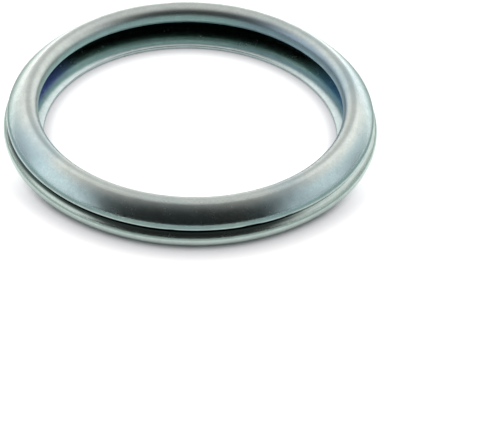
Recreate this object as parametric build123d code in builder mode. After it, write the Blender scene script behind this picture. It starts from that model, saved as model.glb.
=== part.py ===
from build123d import *
from math import acos, atan2, cos, degrees, hypot, radians, sin, tan
import os

# Folded steel crush washer: one strip of sheet, rolled into an S-shaped hollow ring.
# Reading the section from the bore: a flat flange, a round bead at the outside, a web
# back inwards, a round fold that makes the crown, and a domed flank whose free lip
# curls down to stand just above the bead.
# Origin: centre of the bore on the flat underside. +Z is the ring's axis.

# main sizes, mm
bore_diameter = 20.4
ring_width = 2.8
free_height = 3.1
sheet_thickness = 0.45

# outer bead, and the inner fold set back from the bore
bead_height = 1.36
fold_radius = 0.72
fold_setback = 0.4

# flank and its free lip, which stops inside the bead's outside and just above the web
flank_radius = 5.0
lip_radius = 0.8
lip_end = -12
lip_setback = 0.22
lip_gap = 0.05

# sheared edges
edge_round = 0.06

# bead: full round, standing on the underside
bore_r = bore_diameter / 2
outside_r = bore_r + ring_width
bead_radius = bead_height / 2
bead_bend = bead_radius - sheet_thickness
bead_r = outside_r - bead_radius
bead_z = bead_radius

# inner fold: its inside edge is the wall, its top is the crown
fold_bend = fold_radius - sheet_thickness
fold_r = bore_r + fold_setback + fold_radius
fold_z = free_height - fold_radius

# web: the straight that leaves the bead and runs tangent into the fold
web_dr = fold_r - bead_r
web_dz = fold_z - bead_z
bend_sum = bead_radius + fold_radius - sheet_thickness
web_heading = degrees(atan2(-web_dr, web_dz) + acos(-bend_sum / hypot(web_dr, web_dz)))
bead_end = web_heading - 90
fold_start = web_heading + 90

# lip: curls down past upright, so its cut end faces the root of the web
lip_bend = lip_radius - sheet_thickness
lip_r = outside_r - lip_setback - lip_radius
root_r = bead_r + bead_radius * cos(radians(bead_end))
root_z = bead_z + bead_radius * sin(radians(bead_end))
corner_r = lip_r + lip_bend * cos(radians(lip_end))
corner_z = root_z + (corner_r - root_r) * tan(radians(web_heading)) + lip_gap
lip_z = corner_z - lip_bend * sin(radians(lip_end))

# flank: a shallow arc, tangent to the fold above it and to the lip below it
flank_inside = flank_radius - sheet_thickness
lip_dr = lip_r - fold_r
lip_dz = lip_z - fold_z
lip_span = hypot(lip_dr, lip_dz)
fold_gap = flank_radius - fold_radius
curl_gap = flank_radius - lip_radius
spread = acos((fold_gap**2 + lip_span**2 - curl_gap**2) / (2 * fold_gap * lip_span))
flank_start = degrees(atan2(lip_dz, lip_dr) - spread) + 180
flank_r = fold_r - fold_gap * cos(radians(flank_start))
flank_z = fold_z - fold_gap * sin(radians(flank_start))
flank_end = degrees(atan2(lip_z - flank_z, lip_r - flank_r))
flank_arc = flank_start - flank_end
lip_arc = flank_end - lip_end

with BuildPart() as crush_washer:
    with BuildSketch(Plane.XZ) as section:
        with BuildLine() as outline:
            # one face of the sheet, from the underside to the inside of the lip
            underside = Line((bore_r, 0), (bead_r, 0))
            bead = CenterArc((bead_r, bead_z), bead_radius, -90, bead_end + 90)
            fold_in = CenterArc((fold_r, fold_z), fold_bend, fold_start, flank_start - fold_start)
            web_top = Line(bead @ 1, fold_in @ 0)
            flank_in = CenterArc((flank_r, flank_z), flank_inside, flank_start, -flank_arc)
            lip_in = CenterArc((lip_r, lip_z), lip_bend, lip_end, lip_arc)
            # the other face, from the lip back to the flange
            lip = CenterArc((lip_r, lip_z), lip_radius, lip_end, lip_arc)
            lip_cut = Line(lip_in @ 0, lip @ 0)
            flank = CenterArc((flank_r, flank_z), flank_radius, flank_end, flank_arc)
            fold = CenterArc((fold_r, fold_z), fold_radius, flank_start, fold_start - flank_start)
            bead_in = CenterArc((bead_r, bead_z), bead_bend, bead_end, -90 - bead_end)
            web_low = Line(fold @ 1, bead_in @ 0)
            flange_top = Line(bead_in @ 1, (bore_r, sheet_thickness))
            bore_edge = Line(flange_top @ 1, underside @ 0)
        make_face()
        # the cut edges are slightly rounded
        for corner in (underside @ 0, flange_top @ 1, lip_cut @ 0, lip_cut @ 1):
            fillet(section.vertices().sort_by_distance(corner)[0], edge_round)
    revolve(axis=Axis.Z)

crush_washer.part.label = "crush_washer"
os.makedirs("parts", exist_ok=True)
export_step(crush_washer.part, "parts/crush_washer.step")
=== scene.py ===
import bpy
import math
from mathutils import Matrix, Vector, noise


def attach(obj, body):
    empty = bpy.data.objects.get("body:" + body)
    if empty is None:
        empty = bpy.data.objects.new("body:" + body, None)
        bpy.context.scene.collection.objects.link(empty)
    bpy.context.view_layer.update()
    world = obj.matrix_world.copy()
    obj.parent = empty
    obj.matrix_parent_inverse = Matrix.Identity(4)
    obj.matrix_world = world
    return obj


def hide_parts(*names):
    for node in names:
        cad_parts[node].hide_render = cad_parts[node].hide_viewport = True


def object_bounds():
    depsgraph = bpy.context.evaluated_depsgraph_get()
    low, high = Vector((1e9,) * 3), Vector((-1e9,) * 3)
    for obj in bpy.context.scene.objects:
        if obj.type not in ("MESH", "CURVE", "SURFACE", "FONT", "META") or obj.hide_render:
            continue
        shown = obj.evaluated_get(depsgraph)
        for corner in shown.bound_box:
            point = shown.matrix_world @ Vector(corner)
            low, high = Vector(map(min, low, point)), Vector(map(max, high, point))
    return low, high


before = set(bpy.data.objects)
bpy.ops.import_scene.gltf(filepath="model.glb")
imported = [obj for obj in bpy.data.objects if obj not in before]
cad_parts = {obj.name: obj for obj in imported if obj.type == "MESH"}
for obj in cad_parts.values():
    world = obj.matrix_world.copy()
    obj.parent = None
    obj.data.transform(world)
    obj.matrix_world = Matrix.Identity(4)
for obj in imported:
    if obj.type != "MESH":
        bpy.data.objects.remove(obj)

cadLow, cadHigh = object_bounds()
print("frame loaded:", sorted(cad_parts))
mm = 0.001

# the sheet's section in mm, and how finely it is turned
ring = {
    "boreDiameter": 20.4,
    "ringWidth": 2.8,
    "freeHeight": 3.1,
    "sheetThickness": 0.45,
    "beadHeight": 1.36,
    "foldRadius": 0.72,
    "foldSetback": 0.4,
    "flankRadius": 5.0,
    "lipRadius": 0.8,
    "lipEnd": -12,
    "lipSetback": 0.22,
    "lipGap": 0.05,
    "edgeRound": 0.06,
    "rollWidth": 0.9,          # punching leaves the flange's top falling off towards the bore
    "rollDrop": 0.22,
    "rollEdge": 0.07,          # round of the flange's top edge
    "shownStep": 0.07,         # spacing of points on faces that can be seen
    "hiddenStep": 0.3,         # and inside the folds
    "samePoint": 0.00001,      # points nearer than this are one
    "widestTurn": 12,          # most degrees of an arc between two points
    "cornerSteps": 5,
    "cornerClear": 1.02,       # points this near a rounded corner, against its reach, are dropped
    "turns": 440,
}


def arcPoints(centre, radius, start, end, step):
    sweep = math.radians(end - start)
    count = max(math.ceil(abs(sweep) * radius / step), math.ceil(abs(end - start) / ring["widestTurn"]))
    points = []
    for i in range(count + 1):
        a = math.radians(start) + sweep * i / count
        points.append(Vector((centre[0] + radius * math.cos(a), centre[1] + radius * math.sin(a))))
    return points


def linePoints(start, end, step):
    start, end = Vector(start), Vector(end)
    count = max(1, math.ceil((end - start).length / step))
    return [start.lerp(end, i / count) for i in range(count + 1)]


def roundCorner(before, after, radius):
    # joins two runs of points that meet in a corner, with a small arc between them
    corner = before[-1]
    back = (before[-2] - corner).normalized()
    ahead = (after[1] - corner).normalized()
    half = math.acos(max(-1.0, min(1.0, back.dot(ahead)))) / 2
    reach = radius / math.tan(half)
    centre = corner + (back + ahead).normalized() * (radius / math.sin(half))
    first, last = corner + back * reach, corner + ahead * reach
    a = math.atan2(first.y - centre.y, first.x - centre.x)
    b = math.atan2(last.y - centre.y, last.x - centre.x)
    turn = (b - a + math.pi) % (2 * math.pi) - math.pi
    arc = arcPoints(centre, radius, math.degrees(a), math.degrees(a + turn), radius / ring["cornerSteps"])
    clear = reach * ring["cornerClear"]
    kept = [p for p in before if (p - corner).length > clear]
    rest = [p for p in after if (p - corner).length > clear]
    return kept, arc, rest


def sectionOutline(r):
    # the same S-shaped fold as the solid, as one closed run of points, each marked face, lip or bore
    thick, gauge, hidden = r["sheetThickness"], r["shownStep"], r["hiddenStep"]
    boreR = r["boreDiameter"] / 2
    outsideR = boreR + r["ringWidth"]
    beadRadius = r["beadHeight"] / 2
    bead = (outsideR - beadRadius, beadRadius)
    fold = (boreR + r["foldSetback"] + r["foldRadius"], r["freeHeight"] - r["foldRadius"])
    webR, webZ = fold[0] - bead[0], fold[1] - bead[1]
    bendSum = beadRadius + r["foldRadius"] - thick
    heading = math.degrees(math.atan2(-webR, webZ) + math.acos(-bendSum / math.hypot(webR, webZ)))
    beadEnd = math.radians(heading - 90)
    lipEnd = math.radians(r["lipEnd"])
    lipBend = r["lipRadius"] - thick
    lipR = outsideR - r["lipSetback"] - r["lipRadius"]
    cornerR = lipR + lipBend * math.cos(lipEnd)
    rise = (cornerR - bead[0] - beadRadius * math.cos(beadEnd)) * math.tan(math.radians(heading))
    cornerZ = bead[1] + beadRadius * math.sin(beadEnd) + rise + r["lipGap"]
    lip = (lipR, cornerZ - lipBend * math.sin(lipEnd))
    span = math.hypot(lip[0] - fold[0], lip[1] - fold[1])
    foldGap, lipGap = r["flankRadius"] - r["foldRadius"], r["flankRadius"] - r["lipRadius"]
    spread = math.acos((foldGap ** 2 + span ** 2 - lipGap ** 2) / (2 * foldGap * span))
    flankStart = math.degrees(math.atan2(lip[1] - fold[1], lip[0] - fold[0]) - spread) + 180
    flank = (fold[0] - foldGap * math.cos(math.radians(flankStart)),
             fold[1] - foldGap * math.sin(math.radians(flankStart)))
    flankEnd = math.degrees(math.atan2(lip[1] - flank[1], lip[0] - flank[0]))

    underside = linePoints((boreR, 0), (bead[0], 0), gauge * 3)
    beadArc = arcPoints(bead, beadRadius, -90, heading - 90, gauge)
    foldInside = arcPoints(fold, r["foldRadius"] - thick, heading + 90, flankStart, hidden)
    flankInside = arcPoints(flank, r["flankRadius"] - thick, flankStart, flankEnd, hidden)
    lipInside = arcPoints(lip, lipBend, flankEnd, r["lipEnd"], gauge)
    lipArc = arcPoints(lip, r["lipRadius"], r["lipEnd"], flankEnd, gauge)
    flankArc = arcPoints(flank, r["flankRadius"], flankEnd, flankStart, gauge)
    foldArc = arcPoints(fold, r["foldRadius"], flankStart, heading + 90, gauge)
    beadInside = arcPoints(bead, beadRadius - thick, heading - 90, -90, gauge)
    lipCut = linePoints(lipInside[-1], lipArc[0], gauge)
    rollRadius = (r["rollWidth"] ** 2 + r["rollDrop"] ** 2) / (2 * r["rollDrop"])
    rollEnd = 90 + math.degrees(math.asin(r["rollWidth"] / rollRadius))
    rollTop = (boreR + r["rollWidth"], thick - rollRadius)
    flangeTop = linePoints(beadInside[-1], (rollTop[0], thick), gauge * 2)
    flangeTop += arcPoints(rollTop, rollRadius, 90, rollEnd, gauge)[1:]
    boreEdge = linePoints(flangeTop[-1], (boreR, 0), gauge)

    edge = r["edgeRound"]
    lipInside, lipInnerArc, lipCut = roundCorner(lipInside, lipCut, edge)
    lipCut, lipOuterArc, lipArc = roundCorner(lipCut, lipArc, edge)
    flangeTop, boreTopArc, boreEdge = roundCorner(flangeTop, boreEdge, r["rollEdge"])
    boreEdge, boreLowArc, underside = roundCorner(boreEdge, underside, edge)

    runs = [
        ("face", underside), ("face", beadArc),
        ("face", linePoints(beadArc[-1], foldInside[0], hidden)), ("face", foldInside),
        ("face", flankInside), ("face", lipInside),
        ("lip", lipInnerArc), ("lip", lipCut), ("lip", lipOuterArc),
        ("face", lipArc), ("face", flankArc), ("face", foldArc),
        ("face", linePoints(foldArc[-1], beadInside[0], gauge * 2)), ("face", beadInside),
        ("face", flangeTop), ("face", boreTopArc), ("bore", boreEdge), ("bore", boreLowArc),
    ]
    points, kinds = [], []
    for kind, run in runs:
        for p in run:
            if not points or (p - points[-1]).length > r["samePoint"]:
                points.append(p)
                kinds.append(kind)
    if (points[0] - points[-1]).length < r["samePoint"]:
        points.pop()
        kinds.pop()
    return points, kinds


# small unevenness that pressing leaves, in mm
forming = {
    "waveHeight": 0.012,       # slow waves round the ring
    "waveLength": 5.0,
    "waveSeed": (3.1, 7.7, 1.3),
    "dimpleHeight": 0.003,
    "dimpleSize": 0.55,
    "dimpleSeed": (9.4, 2.2, 5.8),
    "flatHeight": 0.3,         # the unevenness fades out below this height
    "outShare": 0.5,           # how much of it also moves the metal outwards
    "lipRagged": 0.012,        # how far the lip's cut edge wanders
    "raggedTurns": 9,
    "raggedSeed": 4.4,
    "rimMargin": 0.002,        # how far the ring stays inside the solid's box
    "topMargin": 0.0001,
}


def formedPoint(p, angle, f, atLip):
    # moves a section point a little out of true; the underside stays flat
    c, s = math.cos(angle), math.sin(angle)
    spot = Vector((p.x * c, p.x * s, p.y))
    slow = noise.noise(spot / f["waveLength"] + Vector(f["waveSeed"]))
    fine = noise.noise(spot / f["dimpleSize"] + Vector(f["dimpleSeed"]))
    lift = min(1.0, max(0.0, p.y / f["flatHeight"]))
    shift = (slow * f["waveHeight"] + fine * f["dimpleHeight"]) * lift
    up = p.y + shift
    if atLip:
        turns = f["raggedTurns"]
        up += f["lipRagged"] * noise.noise(Vector((c * turns, s * turns, f["raggedSeed"])))
    out = min(p.x + shift * f["outShare"], cadHigh[0] / mm - f["rimMargin"])
    up = max(min(up, cadHigh[2] / mm - f["topMargin"]), cadLow[2] / mm + f["topMargin"])
    return Vector((out * c, out * s, up)) * mm


def turnRing(r, f):
    points, kinds = sectionOutline(r)
    count, turns = len(points), r["turns"]
    verts, faces, slots = [], [], []
    for k in range(turns):
        angle = 2 * math.pi * k / turns
        verts += [formedPoint(p, angle, f, kind == "lip") for p, kind in zip(points, kinds)]
    for k in range(turns):
        a, b = k * count, (k + 1) % turns * count
        for i in range(count):
            j = (i + 1) % count
            faces.append((a + i, b + i, b + j, a + j))
            slots.append(0 if "face" in (kinds[i], kinds[j]) else 1)    # 1 is the sheared edge's finish
    mesh = bpy.data.meshes.new("crushWasherMesh")
    mesh.from_pydata(verts, [], faces)
    mesh.polygons.foreach_set("material_index", slots)
    mesh.polygons.foreach_set("use_smooth", [True] * len(faces))
    mesh.validate()
    mesh.update()
    obj = bpy.data.objects.new("crushWasher", mesh)
    bpy.context.scene.collection.objects.link(obj)
    print("ring turned:", len(points), "points in the section,", 2 * len(faces), "triangles")
    return obj


def addNode(tree, kind, at=(0, 0), **settings):
    node = tree.nodes.new(kind)
    node.location = at
    for name, value in settings.items():
        setattr(node, name, value)
    return node


def feed(tree, value, socket):
    # value is another node's socket, or a plain number or colour
    if isinstance(value, bpy.types.NodeSocket):
        tree.links.new(value, socket)
    else:
        socket.default_value = value


def combine(tree, operation, values, at):
    node = addNode(tree, "ShaderNodeMath", at, operation=operation)
    for value, socket in zip(values, node.inputs):
        feed(tree, value, socket)
    return node.outputs[0]


def stretch(tree, value, edges, ends, at, shape="LINEAR"):
    # moves a value from the span between the edges to the span between the ends
    node = addNode(tree, "ShaderNodeMapRange", at, interpolation_type=shape)
    for label, given in zip(("From Min", "From Max", "To Min", "To Max"), (*edges, *ends)):
        feed(tree, given, node.inputs[label])
    feed(tree, value, node.inputs["Value"])
    return node.outputs["Result"]


def softStep(tree, value, edges, at, level=1.0):
    # 0 at the first edge and level at the second
    return stretch(tree, value, edges, (0.0, level), at, "SMOOTHSTEP")


def blend(tree, factor, base, top, at, kind="RGBA"):
    node = addNode(tree, "ShaderNodeMix", at, data_type=kind)
    for label, value in (("Factor", factor), ("A", base), ("B", top)):
        feed(tree, value, node.inputs[label])
    return node.outputs["Result"]


def ringCoords(tree, at):
    # a point's place flattened on the table, its radius from the axis and its x, y and z, in metres
    coords = addNode(tree, "ShaderNodeTexCoord", at)
    parts = addNode(tree, "ShaderNodeSeparateXYZ", (at[0] + 200, at[1]))
    flat = addNode(tree, "ShaderNodeVectorMath", (at[0] + 200, at[1] + 200), operation="MULTIPLY")
    flat.inputs[1].default_value = (1, 1, 0)
    radius = addNode(tree, "ShaderNodeVectorMath", (at[0] + 400, at[1] + 200), operation="LENGTH")
    link = tree.links.new
    link(coords.outputs["Object"], parts.inputs[0])
    link(coords.outputs["Object"], flat.inputs[0])
    link(flat.outputs[0], radius.inputs[0])
    return {
        "flat": flat.outputs[0], "radius": radius.outputs["Value"],
        "x": parts.outputs["X"], "y": parts.outputs["Y"], "z": parts.outputs["Z"],
    }


def newGroup(name, inputs, outputs):
    group = bpy.data.node_groups.new(name, "ShaderNodeTree")
    for label, kind, value in inputs:
        socket = group.interface.new_socket(label, in_out="INPUT", socket_type=kind)
        socket.default_value = value
    for label, kind in outputs:
        group.interface.new_socket(label, in_out="OUTPUT", socket_type=kind)
    return group, addNode(group, "NodeGroupInput", (-900, 0)), addNode(group, "NodeGroupOutput", (700, 0))


def placeGroup(tree, group, at, **values):
    node = addNode(tree, "ShaderNodeGroup", at)
    node.node_tree = group
    for label, value in values.items():
        node.inputs[label].default_value = value
    return node


grain = {
    "fineShare": 0.45,         # the rest comes from the coarse crystals
    "fineDetail": 3,
    "coarseDetail": 2,
}


def makePlatingGrain(g):
    # crystals of the plating: a mask from 0 to 1 and a height for bump
    group, source, sink = newGroup(
        "platingGrain",
        [("Scale", "NodeSocketFloat", 6000.0), ("Coarse", "NodeSocketFloat", 1500.0)],
        [("Mask", "NodeSocketFloat"), ("Height", "NodeSocketFloat")],
    )
    link = group.links.new
    coords = addNode(group, "ShaderNodeTexCoord", (-900, -250))
    fine = addNode(group, "ShaderNodeTexNoise", (-600, 150))
    coarse = addNode(group, "ShaderNodeTexNoise", (-600, -200))
    for crystals, size, detail in ((fine, "Scale", g["fineDetail"]), (coarse, "Coarse", g["coarseDetail"])):
        crystals.inputs["Detail"].default_value = detail
        link(coords.outputs["Object"], crystals.inputs["Vector"])
        link(source.outputs[size], crystals.inputs["Scale"])
    half = combine(group, "MULTIPLY", (coarse.outputs["Fac"], 1 - g["fineShare"]), (-420, -260))
    both = combine(group, "MULTIPLY_ADD", (fine.outputs["Fac"], g["fineShare"], half), (-300, 0))
    link(both, sink.inputs["Mask"])
    link(both, sink.inputs["Height"])
    return group


# where each passivation tone and the wall's painted shade start and are full, in metres from axis or table
tones = {
    "inside": (0.0115, 0.0110),
    "flangeRadius": (0.0114, 0.0109),
    "flangeHeight": (0.0007, 0.0005),
    "crownHeight": (0.0023, 0.0030),
    "wallTop": (0.00305, 0.0028),
    "wallFoot": (0.0012, 0.0016),
    "wallRight": (0.0, 0.006),
    "wallShare": 0.85,
    "flankRadius": (0.0117, 0.0123),
    "flankFoot": (0.0015, 0.0018),
    "flankFront": (0.001, -0.005),
    "flankCorner": (0.002, 0.007),     # to both sides of the middle
    "patchFoot": (0.0012, 0.0018),
    "patches": (("Blue", 1.0, (0.44, 0.68)), ("Lilac", 4.0, (0.56, 0.74))),    # tone, seed, noise span
    "patchDetail": 2,
}


def makeTintAndWallShade(t):
    # thin passivation over zinc: clean on the crown, greener below and inside, bluer on the front corners of
    # the flank and in slow patches; painted shade darkens and blues the right of the inner wall
    group, source, sink = newGroup(
        "passivateTintAndShade",
        [
            ("Crown", "NodeSocketColor", (0.80, 0.83, 0.81, 1)),
            ("Lower", "NodeSocketColor", (0.66, 0.78, 0.73, 1)),
            ("Inner", "NodeSocketColor", (0.56, 0.78, 0.76, 1)),
            ("Wall", "NodeSocketColor", (0.36, 0.47, 0.62, 1)),
            ("Flange", "NodeSocketColor", (0.74, 0.90, 0.90, 1)),
            ("Blue", "NodeSocketColor", (0.50, 0.70, 0.82, 1)),
            ("Lilac", "NodeSocketColor", (0.62, 0.64, 0.84, 1)),
            ("Amount", "NodeSocketFloat", 0.5), ("Scale", "NodeSocketFloat", 160.0),
        ],
        [("Color", "NodeSocketColor")],
    )
    spot = ringCoords(group, (-1300, 450))
    radius, z = spot["radius"], spot["z"]
    amount = source.outputs["Amount"]

    def within(value, name, at):
        return softStep(group, value, t[name], at)

    def times(first, second, at):
        return combine(group, "MULTIPLY", (first, second), at)

    inside = within(radius, "inside", (-650, 1100))
    wallHeight = times(within(z, "wallTop", (-650, 1300)), within(z, "wallFoot", (-650, 1500)), (-450, 1400))
    # painted shade: the right of the inner wall darkened and blued
    shadedWall = times(inside, within(spot["x"], "wallRight", (-650, 900)), (-450, 1000))
    shadedWall = times(shadedWall, wallHeight, (-300, 1000))
    flangeIn = within(radius, "flangeRadius", (-650, 700))
    flange = times(flangeIn, within(z, "flangeHeight", (-650, 500)), (-450, 600))
    sideways = combine(group, "ABSOLUTE", (spot["x"],), (-900, 200))
    corner = times(within(spot["y"], "flankFront", (-650, 300)), within(sideways, "flankCorner", (-650, 200)),
                   (-500, 250))
    flank = times(within(radius, "flankRadius", (-650, 100)), within(z, "flankFoot", (-650, 0)), (-500, 50))
    layers = [
        ("Inner", inside),
        ("Flange", flange),
        ("Crown", within(z, "crownHeight", (-650, -100))),
        ("Wall", times(shadedWall, t["wallShare"], (-150, 1000))),
        ("Blue", times(times(corner, flank, (-400, 200)), amount, (-250, 200))),
    ]
    coords = addNode(group, "ShaderNodeTexCoord", (-1300, -350))
    patchFoot = within(z, "patchFoot", (-650, -1000))
    for i, (label, seed, span) in enumerate(t["patches"]):
        row = -350 - 300 * i
        drift = addNode(group, "ShaderNodeTexNoise", (-900, row), noise_dimensions="4D")
        drift.inputs["W"].default_value = seed
        drift.inputs["Detail"].default_value = t["patchDetail"]
        feed(group, coords.outputs["Object"], drift.inputs["Vector"])
        feed(group, source.outputs["Scale"], drift.inputs["Scale"])
        patch = times(softStep(group, drift.outputs["Fac"], span, (-650, row)), amount, (-400, row))
        layers.append((label, times(patch, patchFoot, (-200, row))))
    last = source.outputs["Lower"]
    for i, (label, share) in enumerate(layers):
        last = blend(group, share, last, source.outputs[label], (150 * i, 900 - 150 * i))
    feed(group, last, sink.inputs["Color"])
    return group


# painted shade in the hollow and the lip's gap, in metres; each span starts at none and ends at full
recess = {
    "hollowEnd": (0.01262, 0.0125),    # radius at which the bead closes it
    "hollowTop": (0.0019, 0.0014),
    "hollowFoot": (0.0001, 0.0003),
    "ends": (0.0072, 0.0100),          # x of the hollow's two ends, which get a lighter painted half-shade
    "endsRadius": (0.0107, 0.0113),
    "endsOpen": 0.9,                   # how much of the painted shade they lose
    "gapFoot": 0.00122,
    "gapRoof": 0.00153,
    "gapRadius": (0.0125, 0.0126),
    "gapShadeFacing": (-0.42, -0.906, 0),   # painted shade in the gap is strongest at the front and to the left
    "gapReach": (0.0047, 0.0079),
    "gapShare": 0.96,
    "side": (-0.004, 0.004),
    "foldRadius": (0.0117, 0.0113),
    "foldFoot": (0.0012, 0.0016),
}


def makePaintedRecessShade(c):
    # its first output is painted shade inside the hollow and in the lip's gap, the second the hollow's two
    # ends, where a lighter painted half-shade stands, Side tells right from left, and Fold is 1 round the
    # inner fold
    group, source, sink = newGroup(
        "paintedRecessShade",
        [("Inner", "NodeSocketFloat", 0.01155), ("Outer", "NodeSocketFloat", 0.0122),
         ("Gap Low", "NodeSocketFloat", 0.00104), ("Gap Top", "NodeSocketFloat", 0.00146)],
        [("PaintedShade", "NodeSocketFloat"), ("EndShade", "NodeSocketFloat"), ("Side", "NodeSocketFloat"),
         ("Fold", "NodeSocketFloat")],
    )
    spot = ringCoords(group, (-1100, 0))
    radius, x, z = spot["radius"], spot["x"], spot["z"]
    facing = addNode(group, "ShaderNodeVectorMath", (-500, -700), operation="DOT_PRODUCT")
    facing.inputs[1].default_value = c["gapShadeFacing"]
    feed(group, spot["flat"], facing.inputs[0])

    def within(value, edges, at):
        return softStep(group, value, edges, at)

    def times(first, second, at):
        return combine(group, "MULTIPLY", (first, second), at)

    band = times(within(z, c["hollowTop"], (-250, 0)), within(z, c["hollowFoot"], (-250, -200)), (0, -100))
    low = times(within(radius, c["hollowEnd"], (-250, 200)), band, (150, 0))
    sideways = combine(group, "ABSOLUTE", (x,), (-500, 600))
    ends = within(sideways, c["ends"], (-250, 600))
    opened = combine(group, "SUBTRACT", (1.0, times(ends, c["endsOpen"], (-50, 600))), (100, 600))
    hollow = within(radius, (source.outputs["Inner"], source.outputs["Outer"]), (-250, 400))
    hollow = times(times(hollow, low, (300, 200)), opened, (450, 300))
    gap = times(within(z, (source.outputs["Gap Low"], c["gapFoot"]), (-250, -400)),
                within(z, (c["gapRoof"], source.outputs["Gap Top"]), (-250, -600)), (0, -500))
    outer = times(within(radius, c["gapRadius"], (-250, -800)),
                  within(facing.outputs["Value"], c["gapReach"], (-250, -1000)), (0, -800))
    outer = times(outer, c["gapShare"], (100, -800))
    # painted shade: the hollow, and the lip's gap towards the front and left, darkened in the colour
    paintedShade = combine(group, "MAXIMUM", (hollow, times(gap, outer, (150, -600))), (500, -100))
    # the hollow's two ends, where a lighter painted half-shade replaces most of the painted shade
    endZone = times(times(ends, within(radius, c["endsRadius"], (-250, 800)), (300, 700)), low, (450, 600))
    fold = within(radius, c["foldRadius"], (-250, 1100))
    fold = times(fold, within(z, c["foldFoot"], (-250, 1300)), (300, 1200))
    feed(group, paintedShade, sink.inputs["PaintedShade"])
    feed(group, endZone, sink.inputs["EndShade"])
    feed(group, within(x, c["side"], (300, 900)), sink.inputs["Side"])
    feed(group, fold, sink.inputs["Fold"])
    return group


platedFace = {
    "crown": (0.83, 0.89, 0.84, 1),
    "lower": (0.71, 0.83, 0.78, 1),
    "inner": (0.54, 0.77, 0.76, 1),
    # painted shade on the right of the inner wall
    "rightWall": (0.36, 0.47, 0.60, 1),
    "flange": (0.82, 0.95, 0.93, 1),
    "blue": (0.50, 0.70, 0.78, 1),
    "lilac": (0.60, 0.68, 0.82, 1),
    "tintAmount": 0.6,
    "tintScale": 110.0,
    "rough": (0.22, 0.28),
    "roughSpan": (0.3, 0.7),    # of the grain
    "foldRough": 0.14,          # the tight inner fold is duller
    "grainScale": 6000.0,
    "coarseScale": 1500.0,
    "grainBump": 0.02,
    "grainHeight": 0.00002,
    "mottle": 0.16,             # how much the crystals darken the plating
    "mottleSpan": (0.35, 0.62),
    "worn": (0.25, 0.27, 0.26, 1),
    # painted shade in the hollow and the lip's gap
    "paintedShade": (0.03, 0.06, 0.055, 1),
    # painted half-shade at the hollow's ends, purple-tinted on the left and teal on the right
    "leftEndShade": (0.38, 0.44, 0.66, 1),
    "rightEndShade": (0.38, 0.54, 0.66, 1),
}

# the sheared edges differ in these
cutFace = {
    **platedFace,
    "crown": (0.70, 0.74, 0.72, 1),
    "lower": (0.60, 0.72, 0.68, 1),
    "inner": (0.58, 0.76, 0.74, 1),
    # painted shade on the right of the inner wall
    "rightWall": (0.40, 0.50, 0.62, 1),
    "flange": (0.72, 0.84, 0.84, 1),
    "blue": (0.52, 0.68, 0.76, 1),
    "lilac": (0.60, 0.62, 0.78, 1),
    "tintAmount": 0.5,
    "tintScale": 240.0,
    "rough": (0.26, 0.4),
    "foldRough": 0.1,
    "grainScale": 9000.0,
    "coarseScale": 2250.0,
    "grainBump": 0.12,
    "mottle": 0.3,
}


def zincMaterial(name, look, grainGroup, tintAndShadeGroup, recessShadeGroup):
    mat = bpy.data.materials.new(name)
    mat.use_nodes = True
    tree = mat.node_tree
    tree.nodes.clear()
    link = tree.links.new
    out = addNode(tree, "ShaderNodeOutputMaterial", (900, 0))
    skin = addNode(tree, "ShaderNodeBsdfPrincipled", (600, 0))
    skin.inputs["Metallic"].default_value = 1.0
    crystals = placeGroup(tree, grainGroup, (-400, -200),
                          Scale=look["grainScale"], Coarse=look["coarseScale"])
    tint = placeGroup(
        tree, tintAndShadeGroup, (-400, 200),
        Crown=look["crown"], Lower=look["lower"], Inner=look["inner"], Wall=look["rightWall"],
        Flange=look["flange"], Blue=look["blue"], Lilac=look["lilac"],
        Amount=look["tintAmount"], Scale=look["tintScale"],
    )
    fold = placeGroup(tree, recessShadeGroup, (-400, 600))
    mask = crystals.outputs["Mask"]
    mottle = stretch(tree, mask, look["mottleSpan"], (0.0, look["mottle"]), (-150, 150))
    colour = blend(tree, mottle, tint.outputs["Color"], look["worn"], (0, 150))
    # the hollow's two ends take a lighter painted half-shade, purple-tinted on the left and teal on the right
    endShade = blend(tree, fold.outputs["Side"], look["leftEndShade"], look["rightEndShade"], (-100, 650))
    colour = blend(tree, fold.outputs["EndShade"], colour, endShade, (100, 400))
    # painted shade darkens the hollow and the lip's gap
    colour = blend(tree, fold.outputs["PaintedShade"], colour, look["paintedShade"], (300, 300))
    rough = stretch(tree, mask, look["roughSpan"], look["rough"], (0, -100))
    rough = combine(tree, "MULTIPLY_ADD", (fold.outputs["Fold"], look["foldRough"], rough), (200, -100))
    bump = addNode(tree, "ShaderNodeBump", (250, -300))
    bump.inputs["Strength"].default_value = look["grainBump"]
    bump.inputs["Distance"].default_value = look["grainHeight"]
    link(crystals.outputs["Height"], bump.inputs["Height"])
    link(colour, skin.inputs["Base Color"])
    link(rough, skin.inputs["Roughness"])
    link(bump.outputs["Normal"], skin.inputs["Normal"])
    link(skin.outputs["BSDF"], out.inputs["Surface"])
    return mat


washer = turnRing(ring, forming)
effects = makePlatingGrain(grain), makeTintAndWallShade(tones), makePaintedRecessShade(recess)
washer.data.materials.append(zincMaterial("brightZinc", platedFace, *effects))
washer.data.materials.append(zincMaterial("shearedZinc", cutFace, *effects))
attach(washer, "root")
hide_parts("crush_washer")
print("ring finished in zinc")

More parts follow.
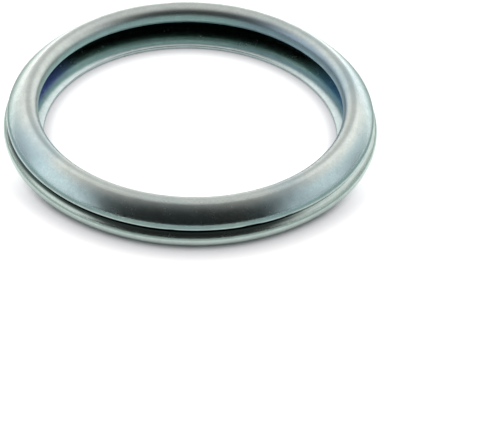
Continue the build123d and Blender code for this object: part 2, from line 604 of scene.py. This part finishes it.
# the table and the room that the metal mirrors; directions point from the ring into the room, and spans of
# a direction are cosines
studio = {
    "floorSize": 6.0,
    "floorColour": (0.80, 0.80, 0.81, 1),
    "floorRough": 0.9,
    "floorLift": 0.86,                 # what the eye adds to a white table
    "shadeReach": 0.0024,              # how far the contact shade spreads
    "shadeSamples": 16,
    "shadeDepth": 1.8,
    "shadeFront": (-0.003, -0.009),    # it falls in front of the ring, behind it and inside it
    "shadeBack": (0.004, 0.009),
    "shadeInside": (0.0112, 0.0104),
    "shadeColour": (0.93, 0.91, 0.96, 1),
    "scrimRadius": 0.7,
    "scrimRows": 16,
    "darkLevel": 0.012,
    "room": (0, 0.77, 0.64),           # overhead and behind
    "roomEdge": (0.0, 0.6),
    "roomLevel": 0.58,
    "slot": (0, 0.87, 0.5),            # the darker strip between the windows
    "slotEdge": (0.866, 0.978),
    "slotLevel": -0.1,
    "window": (0.6, 0.55, 0.58),       # one to each side
    "windowEdge": (0.848, 0.978),
    "windowLevel": 0.36,
    "lowWindow": (0.57, 0.78, 0.22),   # a lower one to the right
    "lowWindowEdge": (0.90, 0.985),
    "lowWindowLevel": 0.08,
    "side": (0.95, -0.17, 0.27),       # pale walls to both sides
    "sideEdge": (0.85, 0.98),
    "leftLevel": 0.82,
    "rightLevel": 0.6,
    "sweepTop": (0.3, 0.05),           # the low light behind
    "sweepSide": (0.55, 0.85),
    "sweepLevel": 0.36,
    "backTop": (0.7, 0.25),            # and more of it straight back
    "backSide": (0.86, 0.97),
    "backLevel": 0.32,
    # a sheet that paints shade into what the metal mirrors of the table
    "shadeSheetRadius": 0.09,
    "shadeSheetSides": 48,
    "shadeSheetLift": 0.00001,
    "shadeSheetColour": (0.29, 0.34, 0.32, 1),
    "shadeSheetFade": 0.8,                   # share of the radius at which it starts to fade
    "shadeSheetBack": (0.010, 0.017),
    "footInside": (0.0088, 0.0100),
    "footOutside": (0.0150, 0.0142),
    "footLevel": 0.7,
}

white = (1, 1, 1, 1)


def stageObject(name, points, faces, matName):
    mesh = bpy.data.meshes.new(name + "Mesh")
    mesh.from_pydata(points, [], faces)
    obj = bpy.data.objects.new(name, mesh)
    bpy.context.scene.collection.objects.link(obj)
    mesh.materials.append(bpy.data.materials.new(matName))
    mesh.materials[0].use_nodes = True
    return obj


def reflectedSheet(name, points, faces):
    # a sheet that only reflections pass through; its material starts empty
    sheet = stageObject(name, points, faces, name + "Cloth")
    tree = sheet.data.materials[0].node_tree
    tree.nodes.clear()
    sheet.visible_camera = False
    sheet.visible_diffuse = False
    sheet.visible_shadow = False
    return tree


def letThrough(tree, colour):
    clear = addNode(tree, "ShaderNodeBsdfTransparent", (400, 0))
    out = addNode(tree, "ShaderNodeOutputMaterial", (600, 0))
    tree.links.new(colour, clear.inputs["Color"])
    tree.links.new(clear.outputs["BSDF"], out.inputs["Surface"])


def lightPathMask(tree, at):
    # 1 for what the eye, a mirror or glass sees
    path = addNode(tree, "ShaderNodeLightPath", at)
    seen = path.outputs["Is Camera Ray"]
    for i, label in enumerate(("Is Glossy Ray", "Is Transmission Ray")):
        seen = combine(tree, "MAXIMUM", (seen, path.outputs[label]), (at[0] + 200 * (i + 1), at[1]))
    return seen


def makeFloor(s):
    half = s["floorSize"] / 2
    corners = [(-half, -half, 0), (half, -half, 0), (half, half, 0), (-half, half, 0)]
    mat = stageObject("floor", corners, [(0, 1, 2, 3)], "whiteTable").data.materials[0]
    mat.cycles.emission_sampling = "NONE"
    tree = mat.node_tree
    skin = tree.nodes["Principled BSDF"]
    skin.inputs["Base Color"].default_value = s["floorColour"]
    skin.inputs["Roughness"].default_value = s["floorRough"]
    skin.inputs["Specular IOR Level"].default_value = 0.0
    near = addNode(tree, "ShaderNodeAmbientOcclusion", (-700, -300), samples=s["shadeSamples"])
    near.inputs["Distance"].default_value = s["shadeReach"]
    depth = combine(tree, "POWER", (near.outputs["AO"], s["shadeDepth"]), (-500, -300))
    spot = ringCoords(tree, (-1500, -600))
    where = softStep(tree, spot["y"], s["shadeFront"], (-900, -600))
    for i, (axis, edges) in enumerate((("y", s["shadeBack"]), ("radius", s["shadeInside"]))):
        other = softStep(tree, spot[axis], edges, (-900, -800 - 200 * i))
        where = combine(tree, "MAXIMUM", (where, other), (-700 + 150 * i, -700))
    shown = blend(tree, where, 1.0, depth, (-400, -450), "FLOAT")
    lift = combine(tree, "MULTIPLY", (lightPathMask(tree, (-1100, 0)), shown), (-300, -200))
    lift = combine(tree, "MULTIPLY", (lift, s["floorLift"]), (-150, -350))
    tone = blend(tree, shown, s["shadeColour"], white, (-150, -600))
    feed(tree, tone, skin.inputs["Emission Color"])
    feed(tree, lift, skin.inputs["Emission Strength"])


def addRoomLight(tree, direction, s, at):
    # how bright the room is in a direction: soft patches and two low glows at the back, added up
    unit = addNode(tree, "ShaderNodeVectorMath", at, operation="NORMALIZE")
    axes = addNode(tree, "ShaderNodeSeparateXYZ", (at[0] + 200, at[1] + 200))
    feed(tree, direction, unit.inputs[0])
    feed(tree, unit.outputs["Vector"], axes.inputs[0])

    def leftwards(way):
        return -way[0], way[1], way[2]

    patches = [
        (leftwards(s["side"]), s["sideEdge"], s["leftLevel"]),
        (s["side"], s["sideEdge"], s["rightLevel"]),
        (s["lowWindow"], s["lowWindowEdge"], s["lowWindowLevel"]),
        (s["room"], s["roomEdge"], s["roomLevel"]),
        (leftwards(s["window"]), s["windowEdge"], s["windowLevel"]),
        (s["window"], s["windowEdge"], s["windowLevel"]),
        (s["slot"], s["slotEdge"], s["slotLevel"]),
    ]
    glows = [(s["backTop"], s["backSide"], s["backLevel"]), (s["sweepTop"], s["sweepSide"], s["sweepLevel"])]
    levels = []
    for top, edges, level in glows:
        row = at[1] + 400 + 200 * len(levels)
        low = softStep(tree, axes.outputs["Z"], top, (at[0] + 400, row))
        behind = softStep(tree, axes.outputs["Y"], edges, (at[0] + 600, row), level)
        levels.append(combine(tree, "MULTIPLY", (low, behind), (at[0] + 800, row)))
    for i, (way, edges, level) in enumerate(patches):
        row = at[1] - 200 * i
        dot = addNode(tree, "ShaderNodeVectorMath", (at[0] + 200, row), operation="DOT_PRODUCT")
        dot.inputs[1].default_value = Vector(way).normalized()
        feed(tree, unit.outputs["Vector"], dot.inputs[0])
        levels.append(softStep(tree, dot.outputs["Value"], edges, (at[0] + 400, row), level))
    total = levels[0]
    for i, level in enumerate(levels[1:]):
        total = combine(tree, "ADD", (total, level), (at[0] + 1000, at[1] - 100 * i))
    return combine(tree, "MAXIMUM", (total, s["darkLevel"]), (at[0] + 1200, at[1]))


def makeScrim(s):
    # a cloth tent that lets the room through by its brightness
    rows, cols = s["scrimRows"], s["scrimRows"] * 2
    points = []
    for i in range(rows + 1):
        rise = math.pi * (i / rows - 0.5)
        for j in range(cols):
            a = 2 * math.pi * j / cols
            spot = Vector((math.cos(rise) * math.cos(a), math.cos(rise) * math.sin(a), math.sin(rise)))
            points.append(spot * s["scrimRadius"])
    faces = [(i * cols + j, i * cols + (j + 1) % cols, (i + 1) * cols + (j + 1) % cols, (i + 1) * cols + j)
             for i in range(rows) for j in range(cols)]
    tree = reflectedSheet("scrim", points, faces)
    coords = addNode(tree, "ShaderNodeTexCoord", (-1400, 0))
    letThrough(tree, addRoomLight(tree, coords.outputs["Object"], s, (-1200, 0)))


def makeReflectionShadeSheet(s):
    # painted shade: a grey-green sheet over the near table, cut away round the ring's foot; only reflections
    # see it
    sides, radius = s["shadeSheetSides"], s["shadeSheetRadius"]
    angles = [2 * math.pi * k / sides for k in range(sides)]
    points = [(radius * math.cos(a), radius * math.sin(a), s["shadeSheetLift"]) for a in angles]
    tree = reflectedSheet("reflectionShadeSheet", points, [tuple(range(sides))])
    spot = ringCoords(tree, (-1100, 0))
    footIn = softStep(tree, spot["radius"], s["footInside"], (-600, -200), s["footLevel"])
    footOut = softStep(tree, spot["radius"], s["footOutside"], (-600, -450))
    gone = combine(tree, "MULTIPLY", (footIn, footOut), (-350, -300))
    back = softStep(tree, spot["y"], s["shadeSheetBack"], (-600, 50))
    far = softStep(tree, spot["radius"], (radius * s["shadeSheetFade"], radius), (-600, 300))
    for i, part in enumerate((back, far)):
        gone = combine(tree, "MAXIMUM", (gone, part), (-150 + 150 * i, 0))
    letThrough(tree, blend(tree, gone, s["shadeSheetColour"], white, (200, 0)))


def makeWorld(s):
    world = bpy.data.worlds.new("softRoom")
    bpy.context.scene.world = world
    world.use_nodes = True
    tree = world.node_tree
    back = tree.nodes["Background"]
    back.inputs["Color"].default_value = white
    coords = addNode(tree, "ShaderNodeTexCoord", (-1900, -300))
    light = addRoomLight(tree, coords.outputs["Generated"], s, (-1700, -300))
    brightest = combine(tree, "MAXIMUM", (lightPathMask(tree, (-900, 0)), light), (-250, 0))
    feed(tree, brightest, back.inputs["Strength"])


makeFloor(studio)
makeScrim(studio)
makeReflectionShadeSheet(studio)
makeWorld(studio)
print("studio set")

# a long lens looks down at the table, with the ring to the upper left of its aim
view = {
    "lens": 1000.0,
    "sensor": 36.0,
    "distance": 0.95843,
    "elevation": 37.32,
    "roll": 1.542,
    "aim": (4.327, -9.726),     # mm on the table
    "clip": (0.05, 20.0),
}


def makeCamera(v):
    data = bpy.data.cameras.new("camera")
    data.lens = v["lens"]
    data.sensor_width = v["sensor"]
    data.clip_start, data.clip_end = v["clip"]
    camera = bpy.data.objects.new("camera", data)
    bpy.context.scene.collection.objects.link(camera)
    rise, roll = math.radians(v["elevation"]), math.radians(v["roll"])
    back = Vector((0, -math.cos(rise), math.sin(rise)))
    right = Vector((1, 0, 0))
    up = Vector((0, math.sin(rise), math.cos(rise)))
    across = right * math.cos(roll) + up * math.sin(roll)
    upright = up * math.cos(roll) - right * math.sin(roll)
    turn = Matrix((across, upright, back)).transposed()
    aim = Vector((*v["aim"], 0)) * mm
    camera.matrix_world = Matrix.Translation(aim + back * v["distance"]) @ turn.to_4x4()
    bpy.context.scene.camera = camera


makeCamera(view)
bpy.context.scene.view_settings.view_transform = "Standard"
print("camera placed")
